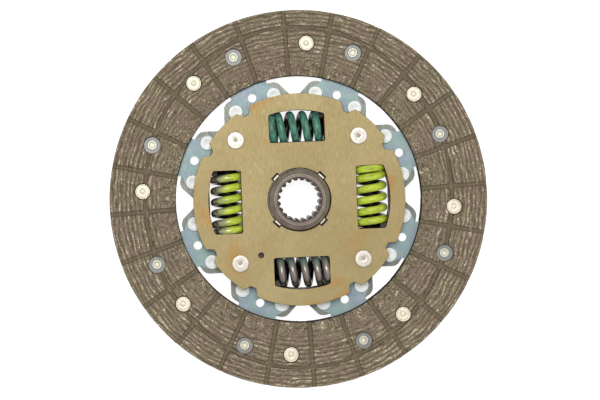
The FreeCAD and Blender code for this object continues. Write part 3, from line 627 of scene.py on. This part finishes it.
# Marking paint brushed on a coil is glossy and streaky; the coil's rear side is painted near black as shade.
# The brush ran across the springs, along the wire: X for the long springs and Y for the short ones.
SHORT_SPRING_STROKES = (1.3 * MM, 7.0 * MM, 1.3 * MM)
LIME_SPRING = SpringPaint("lime_painted_spring")
HALF_LIME_SPRING = SpringPaint(
    "half_painted_spring", steel="B4AE9E", cover=PaintCover.HUB_SIDE, edge_radius=45.0 * MM,
    edge_blur=7.0 * MM)
GREEN_SPRING = SpringPaint(
    "green_painted_spring", paint="55907A", thin_paint="23503F", strokes=SHORT_SPRING_STROKES)
BLACK_SPRING = SpringPaint(
    "oiled_spring", paint="587A6A", thin_paint="48574F", steel="A0958D", cover=PaintCover.HUB_SIDE,
    strokes=SHORT_SPRING_STROKES, edge_radius=38.5 * MM, edge_blur=8.0 * MM)
# A press tool shears a hole's wall rough; the walls are painted near black as the shade in the holes.
HOLE_WALL_SHADE = SatinMetal(
    "painted_shade_hole_wall", colour="261E17", tint="1B150F", metallic=0.15, roughness=(0.5, 0.66))
# Black oxide, oiled, is nearly black and hardly shines.
# On the tabbed washer under its tab ends the same black is painted shade.
DARK_SPRING_STEEL = SatinMetal("black_oxide_and_painted_shade", colour="2B2724", tint="36302B", metallic=0.6)
# Plastic filled with glass comes out of its mould matt, with a fine grain.
BUSH_PLASTIC = MouldedPlastic("glass_filled_plastic")
# Friction dust pressed with resin is a rough brown.
FRICTION_RING = MouldedPlastic(
    "pressed_friction_ring", colour="4A3A2E", tint="5C4A3B", grain=0.7 * MM, roughness=0.8)
# Sheet steel is bright where a tab's end was cut.
TAB_STEEL = SatinMetal("bright_tab_steel", colour="F2E6D6", tint="DCCDBB", metallic=0.4)


# Shapes


def node_mesh(node: str) -> Mesh:
    """A merged copy of a frame node's mesh, with its flat faces made whole.

    Args:
        node: The node's name.

    Returns:
        The copy.
    """
    mesh = bmesh.new()
    mesh.from_mesh(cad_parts[node].data)
    bmesh.ops.remove_doubles(mesh, verts=mesh.verts, dist=MERGE_DISTANCE)
    bmesh.ops.dissolve_limit(
        mesh, angle_limit=FLAT_ANGLE, verts=mesh.verts, edges=mesh.edges, use_dissolve_boundaries=False)
    return mesh


def keep_inside(mesh: Mesh, node: str) -> None:
    """Move the corners that a bevel pushed past its node's box back on the box.

    Args:
        mesh: The mesh to change.
        node: The frame node that it was copied from.
    """
    low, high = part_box(node)
    for vert in mesh.verts:
        vert.co = Vector(min(max(value, least), most) for value, least, most in zip(vert.co, low, high))


def sharp_edges(mesh: Mesh, angle: float = SHARP_ANGLE) -> List[Edge]:
    """The outward edges at which two faces turn by more than an angle."""
    return [edge for edge in mesh.edges if edge.is_manifold and edge.calc_face_angle_signed() > angle]


def soften(mesh: Mesh, edges: Sequence[Edge], width: float,
           segments: int = 2, finish: int = 0) -> None:
    """Bevel some edges and give the new faces a finish.

    Args:
        mesh: The mesh to change.
        edges: The edges to bevel.
        width: How far the bevel reaches from each edge.
        segments: The faces across the bevel.
        finish: The number of the new faces' material.
    """
    made = bmesh.ops.bevel(
        mesh, geom=edges, offset=width, offset_type="OFFSET", segments=segments, profile=0.5,
        affect="EDGES", clamp_overlap=False, material=-1)
    for face in made["faces"]:
        face.material_index = finish


def lathe(profile: Sequence[Corner], steps: int) -> Mesh:
    """Turn a profile round the Z axis.

    Args:
        profile: Corners (distance, height) that start and end on the axis.
        steps: The faces round the axis.

    Returns:
        The closed shape, its faces pointing out.
    """
    mesh = bmesh.new()
    corners = [mesh.verts.new((distance, 0.0, height)) for distance, height in profile]
    for first, second in zip(corners, corners[1:]):
        mesh.edges.new((first, second))
    bmesh.ops.spin(
        mesh, geom=mesh.verts[:] + mesh.edges[:], cent=ORIGIN, axis=AXIS, angle=math.tau, steps=steps,
        use_merge=True, use_duplicate=False)
    bmesh.ops.remove_doubles(mesh, verts=mesh.verts, dist=MERGE_DISTANCE)
    bmesh.ops.dissolve_degenerate(mesh, dist=MERGE_DISTANCE, edges=mesh.edges)
    bmesh.ops.recalc_face_normals(mesh, faces=mesh.faces)
    return mesh


def repeat_round(mesh: Mesh, circle: float, angle: float, count: int) -> None:
    """Move a shape out to a circle and repeat it evenly round the axis.

    Args:
        mesh: The mesh that holds the one shape.
        circle: The circle's radius.
        angle: The first shape's angle in degrees.
        count: How many shapes there are.
    """
    bmesh.ops.translate(mesh, verts=mesh.verts, vec=(circle, 0.0, 0.0))
    bmesh.ops.rotate(mesh, verts=mesh.verts, cent=ORIGIN, matrix=Matrix.Rotation(math.radians(angle), 3, "Z"))
    bmesh.ops.spin(
        mesh, geom=mesh.verts[:] + mesh.edges[:] + mesh.faces[:], cent=ORIGIN, axis=AXIS,
        angle=math.tau * (count - 1) / count, steps=count - 1, use_merge=False, use_duplicate=True)


def make_piece(mesh: Mesh, name: str, finishes: Sequence[Finish], body: Body,
               nodes: Sequence[str]) -> bpy.types.Object:
    """Turn a finished mesh into a piece that stands for some frame nodes.

    Args:
        mesh: The finished mesh, which is used up.
        name: The piece's name.
        finishes: The finishes, in the order of the faces' material numbers.
        body: The body that the piece rides on.
        nodes: The frame nodes that it stands for.

    Returns:
        The piece.
    """
    data = bpy.data.meshes.new(name)
    for face in mesh.faces:
        face.smooth = True
    mesh.to_mesh(data)
    mesh.free()
    data.set_sharp_from_angle(angle=SMOOTH_ANGLE)
    for finish in finishes:
        data.materials.append(finish.material())
    piece = bpy.data.objects.new(name, data)
    bpy.context.scene.collection.objects.link(piece)
    weighted = piece.modifiers.new("even_shading", "WEIGHTED_NORMAL")
    weighted.keep_sharp = True
    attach(piece, body.value)
    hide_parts(*nodes)
    triangles = sum(len(polygon.vertices) - 2 for polygon in data.polygons)
    log.info("%s: %d triangles on %s", name, triangles, body.value)
    return piece


def dress_node(node: str, finish: Finish) -> None:
    """Give a frame node, which keeps its own mesh, a finish.

    Args:
        node: The node's name.
        finish: The finish.
    """
    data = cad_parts[node].data
    data.materials.clear()
    data.materials.append(finish.material())
    log.info("%s: dressed in %s", node, finish.name)


@dataclass
class Hub:
    """The hub: a splined barrel with a flange between the plates."""

    edge_width: float = 0.3 * MM

    def build(self) -> None:
        """Make the hub, its outward edges eased."""
        mesh = node_mesh("hub")
        soften(mesh, sharp_edges(mesh), self.edge_width, finish=1)
        make_piece(mesh, "splined_hub", (HUB_STEEL, HUB_EDGE), Body.HUB, ["hub"])


@dataclass
class Plates:
    """The gold front plate and the grey rear plate."""

    edge_width: float = 0.26 * MM
    rim_radius: float = 49.0 * MM
    upright_normal: float = 0.97

    def darken_windows(self, mesh: Mesh) -> None:
        """Paint the walls of the spring windows and of all other holes near black, as the shade in the holes.

        Args:
            mesh: The plate's mesh.
        """
        for face in mesh.faces:
            upright = abs(face.normal.z) < self.upright_normal and face.normal.xy.length > 0
            # Painted shade: the walls of holes are painted near black.
            if upright and face.calc_center_median().xy.length < self.rim_radius:
                face.material_index = 2

    def build(self) -> None:
        """Make both plates with the rolled and burnished edges that a press tool leaves."""
        for node, name, finishes, slot in (
            ("front_plate", "retaining_plate", (GOLD_ZINC, GOLD_EDGE, HOLE_WALL_SHADE), "passivated_plate"),
            ("rear_plate", "disc_plate", (PLATE_STEEL, PLATE_EDGE, HOLE_WALL_SHADE), "bare_plate"),
        ):
            mesh = node_mesh(node)
            soften(mesh, sharp_edges(mesh), self.edge_width, finish=1)
            self.darken_windows(mesh)
            make_piece(mesh, name, finishes, Body.DISC, [node])


@dataclass
class CushionSegments:
    """The eight blue spring steel segments."""

    count: int = 8
    edge_width: float = 0.1 * MM

    def build(self) -> None:
        """Make each segment from its frame node."""
        for number in range(1, self.count + 1):
            node = "cushion_segment_%d" % number
            mesh = node_mesh(node)
            soften(mesh, sharp_edges(mesh, FOLD_ANGLE), self.edge_width, finish=1)
            make_piece(mesh, "spring_segment_%d" % number, (BLUED_STEEL, BLUED_EDGE), Body.DISC, [node])


@dataclass
class FrictionRings:
    """The two grooved friction rings."""

    block_corner: float = 1.5 * MM
    edge_width: float = 0.42 * MM
    groove_depth: float = 0.9 * MM
    depth_slack: float = 0.1 * MM

    def block_corners(self, mesh: Mesh) -> List[Edge]:
        """Find the upright edges at which one groove runs into another or into the rim.

        Args:
            mesh: The ring's mesh.

        Returns:
            The edges.
        """
        found = []
        for edge in sharp_edges(mesh):
            first, second = (vert.co for vert in edge.verts)
            upright = (first - second).xy.length < MERGE_DISTANCE
            if upright and abs(abs(first.z - second.z) - self.groove_depth) < self.depth_slack:
                found.append(edge)
        return found

    def build(self) -> None:
        """Make both rings with rounded blocks between their grooves."""
        for node, name in (("facing_front", "front_friction_ring"), ("facing_rear", "rear_friction_ring")):
            mesh = node_mesh(node)
            soften(mesh, self.block_corners(mesh), self.block_corner, segments=3)
            bmesh.ops.triangulate(mesh, faces=mesh.faces)
            soften(mesh, sharp_edges(mesh, SQUARE_ANGLE), self.edge_width)
            keep_inside(mesh, node)
            make_piece(mesh, name, (LINING,), Body.DISC, [node])


@dataclass
class FacingRivets:
    """The tubular rivets of the friction rings, headed on one side and rolled over on the other."""

    circle: float = 82.6 * MM
    count: int = 8
    head_radius: float = 3.95 * MM
    seat: float = 2.0 * MM
    head_top: float = 2.9 * MM
    shank_radius: float = 2.0 * MM
    collar_radius: float = 2.7 * MM
    collar_seat: float = 0.0
    collar_end: float = -0.8 * MM
    tube_radius: float = 1.25 * MM
    tube_depth: float = 1.6 * MM
    button_radius: float = 0.55 * MM
    ring_radius: float = 1.25 * MM
    ring_width: float = 0.35 * MM
    ring_depth: float = 0.25 * MM
    line_radius: float = 3.25 * MM
    line_width: float = 0.35 * MM
    line_depth: float = 0.1 * MM
    edge_width: float = 0.16 * MM

    def profile(self) -> List[Corner]:
        """Draw the rivet's half outline.

        Returns:
            Its corners, from the middle of its head to the floor of its tube.
        """
        floor = self.collar_end + self.tube_depth
        return [
            (0.0, self.head_top),
            (self.button_radius, self.head_top),
            (self.ring_radius, self.head_top - self.ring_depth),
            (self.ring_radius + self.ring_width, self.head_top),
            (self.line_radius - self.line_width / 2, self.head_top),
            (self.line_radius, self.head_top - self.line_depth),
            (self.line_radius + self.line_width / 2, self.head_top),
            (self.head_radius, self.head_top),
            (self.head_radius, self.seat),
            (self.shank_radius, self.seat),
            (self.shank_radius, self.collar_seat),
            (self.collar_radius, self.collar_seat),
            (self.collar_radius, self.collar_end + 2 * self.edge_width),
            (self.collar_radius - 2 * self.edge_width, self.collar_end),
            (self.tube_radius + 2 * self.edge_width, self.collar_end),
            (self.tube_radius, self.collar_end + 2 * self.edge_width),
            (self.tube_radius, floor),
            (0.0, floor),
        ]

    def build(self) -> None:
        """Make the rivets with front heads and, turned over, the ones with rear heads."""
        for side, angle, name in ((Side.FRONT, 40.0, "front"), (Side.REAR, 22.5, "rear")):
            corners = [(distance, side.value * height) for distance, height in self.profile()]
            mesh = lathe(corners, steps=48)
            soften(mesh, sharp_edges(mesh, FOLD_ANGLE), self.edge_width)
            for face in mesh.faces:
                face.material_index = int(side.value * face.calc_center_median().z < self.collar_seat)
            repeat_round(mesh, self.circle, angle, self.count)
            make_piece(mesh, "ring_rivets_" + name, (CREAM_RIVET, COLLAR_ZINC), Body.DISC,
                       ["facing_rivets_" + name])


@dataclass
class SegmentRivets:
    """The sixteen solid rivets that hold the segments on the rear plate."""

    circle: float = 56.7 * MM
    count: int = 16
    first_angle: float = 11.25
    head_radius: float = 3.8 * MM
    shank_radius: float = 2.5 * MM
    edge_width: float = 0.35 * MM
    dent_radius: float = 1.3 * MM
    dent_rim: float = 2.08 * MM
    dent_depth: float = 0.12 * MM
    segment_sheet: float = 0.7 * MM

    def build(self) -> None:
        """Make the rivets between the lowest and highest corner of their frame node."""
        low, high = (corner.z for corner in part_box("segment_rivets"))
        seat_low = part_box("rear_plate")[0].z
        seat_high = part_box("cushion_segment_1")[0].z + self.segment_sheet
        profile = [
            (0.0, high - self.dent_depth),
            (self.dent_radius, high - self.dent_depth),
            (self.dent_rim, high),
            (self.head_radius, high),
            (self.head_radius, seat_high),
            (self.shank_radius, seat_high),
            (self.shank_radius, seat_low),
            (self.head_radius, seat_low),
            (self.head_radius, low),
            (0.0, low),
        ]
        mesh = lathe(profile, steps=48)
        soften(mesh, sharp_edges(mesh, SQUARE_ANGLE), self.edge_width, segments=3)
        repeat_round(mesh, self.circle, self.first_angle, self.count)
        make_piece(mesh, "foot_rivets", (PALE_RIVET,), Body.DISC, ["segment_rivets"])


@dataclass
class StopPins:
    """The four stepped pins between the plates."""

    circle: float = 45.8 * MM
    count: int = 4
    first_angle: float = 45.0
    head_radius: float = 4.5 * MM
    end_radius: float = 3.0 * MM
    shoulder_radius: float = 4.25 * MM
    edge_width: float = 0.4 * MM
    dent_radius: float = 0.75 * MM
    dent_depth: float = 1.3 * MM
    ring_radius: float = 2.3 * MM
    ring_step: float = 0.08 * MM

    def build(self) -> None:
        """Make the pins between the lowest and highest corner of their frame node."""
        low, high = (corner.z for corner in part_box("stop_pins"))
        rear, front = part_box("rear_plate"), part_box("front_plate")
        profile = [
            (0.0, high - self.dent_depth),
            (self.dent_radius, high),
            (self.ring_radius, high),
            (self.ring_radius + self.ring_step, high - self.ring_step),
            (self.ring_radius + 2 * self.ring_step, high),
            (self.head_radius, high),
            (self.head_radius, front[1].z),
            (self.end_radius, front[1].z),
            (self.end_radius, front[0].z),
            (self.shoulder_radius, front[0].z),
            (self.shoulder_radius, rear[1].z),
            (self.end_radius, rear[1].z),
            (self.end_radius, rear[0].z),
            (self.head_radius, rear[0].z),
            (self.head_radius, low),
            (0.0, low),
        ]
        mesh = lathe(profile, steps=56)
        soften(mesh, sharp_edges(mesh, SQUARE_ANGLE), self.edge_width, segments=3)
        repeat_round(mesh, self.circle, self.first_angle, self.count)
        make_piece(mesh, "spacer_pins", (PIN_ZINC,), Body.DISC, ["stop_pins"])


@dataclass
class DamperSpring:
    """One coil spring, wound right-handed, with its ends closed and ground flat."""

    node: str
    angle: float
    length: float
    turns: int
    finish: Finish
    slot: str
    outer_diameter: float = 18.2 * MM
    wire: float = 4.0 * MM
    circle: float = 37.6 * MM
    height: float = 5.1 * MM
    start_turn: float = 0.24
    closed_pitch: float = 4.16 * MM
    ground_depth: float = 0.6 * MM
    steps_a_turn: int = 40
    wire_faces: int = 20
    twist_limit: float = 9.0

    def pitch(self, turn: float) -> float:
        """The pitch after some turns: closed at both ends, open and even between."""
        open_pitch = (self.length - 2 * self.ground_depth - 2 * self.closed_pitch) / (self.turns - 2)
        return self.closed_pitch if min(turn, self.turns - turn) < 1 else open_pitch

    def wind(self) -> Mesh:
        """Wind the wire along Z, cap its ends, which stay black, and grind it flat on both end planes.

        Returns:
            The coil, standing on the plane z = 0.
        """
        mesh = bmesh.new()
        bmesh.ops.create_circle(mesh, segments=self.wire_faces, radius=self.wire / 2, cap_ends=False)
        bmesh.ops.rotate(mesh, verts=mesh.verts, cent=ORIGIN, matrix=Matrix.Rotation(math.pi / 2, 3, "X"))
        coil_radius = (self.outer_diameter - self.wire) / 2
        bmesh.ops.translate(mesh, verts=mesh.verts, vec=(coil_radius, 0.0, self.ground_depth))
        first_ring = mesh.edges[:]
        last = mesh.verts[:] + mesh.edges[:]
        step = 1 / self.steps_a_turn
        for number in range(self.turns * self.steps_a_turn):
            rise = self.pitch((number + 0.5) * step) * step
            spun = bmesh.ops.spin(
                mesh, geom=last, cent=ORIGIN, axis=AXIS, dvec=AXIS * rise, angle=math.tau * step, steps=1,
                use_merge=False, use_duplicate=False)
            last = spun["geom_last"]
        last_ring = [item for item in last if isinstance(item, Edge)]
        for ring in (first_ring, last_ring):
            for cap in bmesh.ops.contextual_create(mesh, geom=ring)["faces"]:
                cap.material_index = 1
        for level, way in ((0.0, AXIS), (self.length, -AXIS)):
            geometry = mesh.verts[:] + mesh.edges[:] + mesh.faces[:]
            cut = bmesh.ops.bisect_plane(
                mesh, geom=geometry, dist=MERGE_DISTANCE / 10, plane_co=AXIS * level, plane_no=way,
                clear_inner=True)
            rim = [item for item in cut["geom_cut"] if isinstance(item, Edge)]
            bmesh.ops.holes_fill(mesh, edges=rim, sides=0)
        bmesh.ops.recalc_face_normals(mesh, faces=mesh.faces)
        return mesh

    def build(self) -> None:
        """Wind the spring and lay it in its window."""
        mesh = self.wind()
        bmesh.ops.rotate(
            mesh, verts=mesh.verts, cent=ORIGIN, matrix=Matrix.Rotation(-self.start_turn * math.tau, 3, "Z"))
        # The coil's own Z runs along -Y, its X along +Z and its Y along -X.
        lying = Matrix(((0, -1, 0), (0, 0, -1), (1, 0, 0)))
        turned = Matrix.Rotation(math.radians(self.angle), 3, "Z")
        centre = Vector((self.circle, 0.0, self.height))
        place = Matrix.Translation(centre + Vector((0.0, self.length / 2, 0.0))) @ lying.to_4x4()
        bmesh.ops.transform(mesh, matrix=turned.to_4x4() @ place, verts=mesh.verts)
        piece = make_piece(mesh, "coil_" + self.node, (self.finish, DARK_SPRING_STEEL), Body.SPRINGS,
                           [self.node])
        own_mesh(piece)


@dataclass
class FrictionStack:
    """The friction parts between the flange and the plates."""

    edge_width: float = 0.12 * MM
    tab_top: float = 12.5 * MM

    def build(self) -> None:
        """Make the thrust plate, its tabs cut bright at their ends, and dress the parts that stay hidden."""
        mesh = node_mesh("thrust_plate")
        bmesh.ops.triangulate(mesh, faces=mesh.faces)
        soften(mesh, sharp_edges(mesh), self.edge_width)
        # Painted shade: the washer below the tab ends is near black, as the shade in the tab slots.
        for face in mesh.faces:
            face.material_index = int(face.calc_center_median().z > self.tab_top)
        make_piece(mesh, "tabbed_washer", (DARK_SPRING_STEEL, TAB_STEEL), Body.DISC, ["thrust_plate"])
        dress_node("friction_bush_rear", BUSH_PLASTIC)
        dress_node("friction_washer_front", FRICTION_RING)
        dress_node("cone_spring", DARK_SPRING_STEEL)


@dataclass
class Studio:
    """A pale floor, soft light and a camera that looks straight down on the disc."""

    photo_width_px: float = 600.0
    photo_centre_px: Corner = (300.0, 200.0)
    disc_centre_px: Corner = (298.55, 198.95)
    disc_radius_px: float = 188.6
    disc_radius: float = 100.0 * MM
    roll: float = -2.3
    lean_left: float = 2.3
    lean_up: float = 1.35
    distance: float = 1.6
    sensor: float = 36.0
    clip_end: float = 20.0
    floor_size: float = 6.0
    floor_glow: float = 0.85
    floor_grey: float = 0.6
    key_place: Triple = (-0.1, 0.3, 1.66)
    key_size: float = 0.5
    key_strength: float = 12.0
    fill_place: Triple = (0.9, -0.5, 1.4)
    fill_size: float = 1.4
    fill_strength: float = 2.4
    world_strength: float = 0.52

    def build(self) -> None:
        """Make the floor, the lights and the camera."""
        self.make_floor()
        self.make_world()
        self.make_light("key_light", self.key_place, self.key_size, self.key_strength)
        self.make_light("fill_light", self.fill_place, self.fill_size, self.fill_strength)
        self.make_camera()

    def make_floor(self) -> None:
        """Make a pale floor that the camera sees as white and that keeps the disc's shadow."""
        mesh = bmesh.new()
        bmesh.ops.create_grid(mesh, x_segments=1, y_segments=1, size=self.floor_size / 2)
        bmesh.ops.translate(mesh, verts=mesh.verts, vec=(0.0, 0.0, cad_box[0][2]))
        data = bpy.data.meshes.new("floor")
        mesh.to_mesh(data)
        mesh.free()
        floor = bpy.data.objects.new("floor", data)
        bpy.context.scene.collection.objects.link(floor)
        material = bpy.data.materials.new("pale_floor")
        material.use_nodes = True
        tree = material.node_tree
        tree.nodes.clear()
        path = add(tree, "LightPath", {})
        seen = add(tree, "Math", {
            0: path.outputs["Is Camera Ray"], 1: path.outputs["Is Glossy Ray"]}, operation="MAXIMUM")
        seen_through = add(tree, "Math", {
            0: seen, 1: path.outputs["Is Transmission Ray"]}, operation="MAXIMUM")
        strength = add(tree, "Math", {0: seen_through, 1: self.floor_glow}, operation="MULTIPLY")
        glow = add(tree, "Emission", {"Strength": strength})
        paper = add(tree, "BsdfDiffuse", {"Color": (self.floor_grey, self.floor_grey, self.floor_grey, 1.0)})
        both = add(tree, "AddShader", {0: glow, 1: paper})
        add(tree, "OutputMaterial", {"Surface": both})
        data.materials.append(material)

    def make_world(self) -> None:
        """Light the disc evenly from all round, and show white where the camera sees past the floor."""
        world = bpy.data.worlds.new("studio")
        world.use_nodes = True
        tree = world.node_tree
        tree.nodes.clear()
        path = add(tree, "LightPath", {})
        seen = add(tree, "Math", {
            0: path.outputs["Is Camera Ray"], 1: path.outputs["Is Transmission Ray"]}, operation="MAXIMUM")
        strength = add(tree, "MapRange", {"Value": seen, "To Min": self.world_strength, "To Max": 1.0})
        sky = add(tree, "Background", {"Strength": strength, "Color": (1.0, 1.0, 1.0, 1.0)})
        add(tree, "OutputWorld", {"Surface": sky})
        bpy.context.scene.world = world

    def make_light(self, name: str, place: Triple, size: float, power: float) -> None:
        """Make a square soft light that faces the disc.

        Args:
            name: The light's name.
            place: Where it hangs.
            size: The length of its side.
            power: Its power in watts.
        """
        lamp = bpy.data.lights.new(name, "AREA")
        lamp.shape = "SQUARE"
        lamp.size = size
        lamp.energy = power
        light = bpy.data.objects.new(name, lamp)
        light.location = place
        light.rotation_euler = (-Vector(place)).to_track_quat("-Z", "Y").to_euler()
        bpy.context.scene.collection.objects.link(light)

    def make_camera(self) -> None:
        """Make the camera so that the disc fills the same part of the picture as in the photograph."""
        scale = self.disc_radius / self.disc_radius_px
        right = (self.photo_centre_px[0] - self.disc_centre_px[0]) * scale
        up = (self.disc_centre_px[1] - self.photo_centre_px[1]) * scale
        lens = bpy.data.cameras.new("camera")
        lens.type = "PERSP"
        lens.sensor_width = self.sensor
        lens.lens = self.sensor * self.distance / (self.photo_width_px * scale)
        lens.clip_end = self.clip_end
        camera = bpy.data.objects.new("camera", lens)
        turn = Matrix.Rotation(math.radians(self.roll), 3, "Z")
        turn = turn @ Matrix.Rotation(math.radians(-self.lean_up), 3, "X")
        turn = turn @ Matrix.Rotation(math.radians(-self.lean_left), 3, "Y")
        camera.rotation_euler = turn.to_euler()
        camera.location = turn @ Vector((right, up, self.distance))
        bpy.context.scene.collection.objects.link(camera)
        bpy.context.scene.camera = camera


# The long springs lie on X and the short ones on Y. Each size is a length and its count of turns.
LONG_COIL, SHORT_COIL = (33.0 * MM, 6), (29.0 * MM, 5)
DAMPER_SPRINGS = (
    DamperSpring("damper_spring_right", 0.0, *LONG_COIL, LIME_SPRING, "spring_lime"),
    DamperSpring("damper_spring_top", 90.0, *SHORT_COIL, GREEN_SPRING, "spring_green"),
    DamperSpring("damper_spring_left", 180.0, *LONG_COIL, HALF_LIME_SPRING, "spring_half_lime"),
    DamperSpring("damper_spring_bottom", 270.0, *SHORT_COIL, BLACK_SPRING, "spring_black"),
)


def main() -> None:
    """Build every sub-assembly in order, then the studio."""
    logging.basicConfig(level=logging.INFO, format="%(name)s: %(message)s")
    scene = bpy.context.scene
    scene.view_settings.view_transform = "Standard"
    for assembly in (Hub(), Plates(), CushionSegments(), FrictionRings(), FacingRivets(), SegmentRivets(),
                     StopPins(), *DAMPER_SPRINGS, FrictionStack(), Studio()):
        assembly.build()


if __name__ == "__main__":
    main()
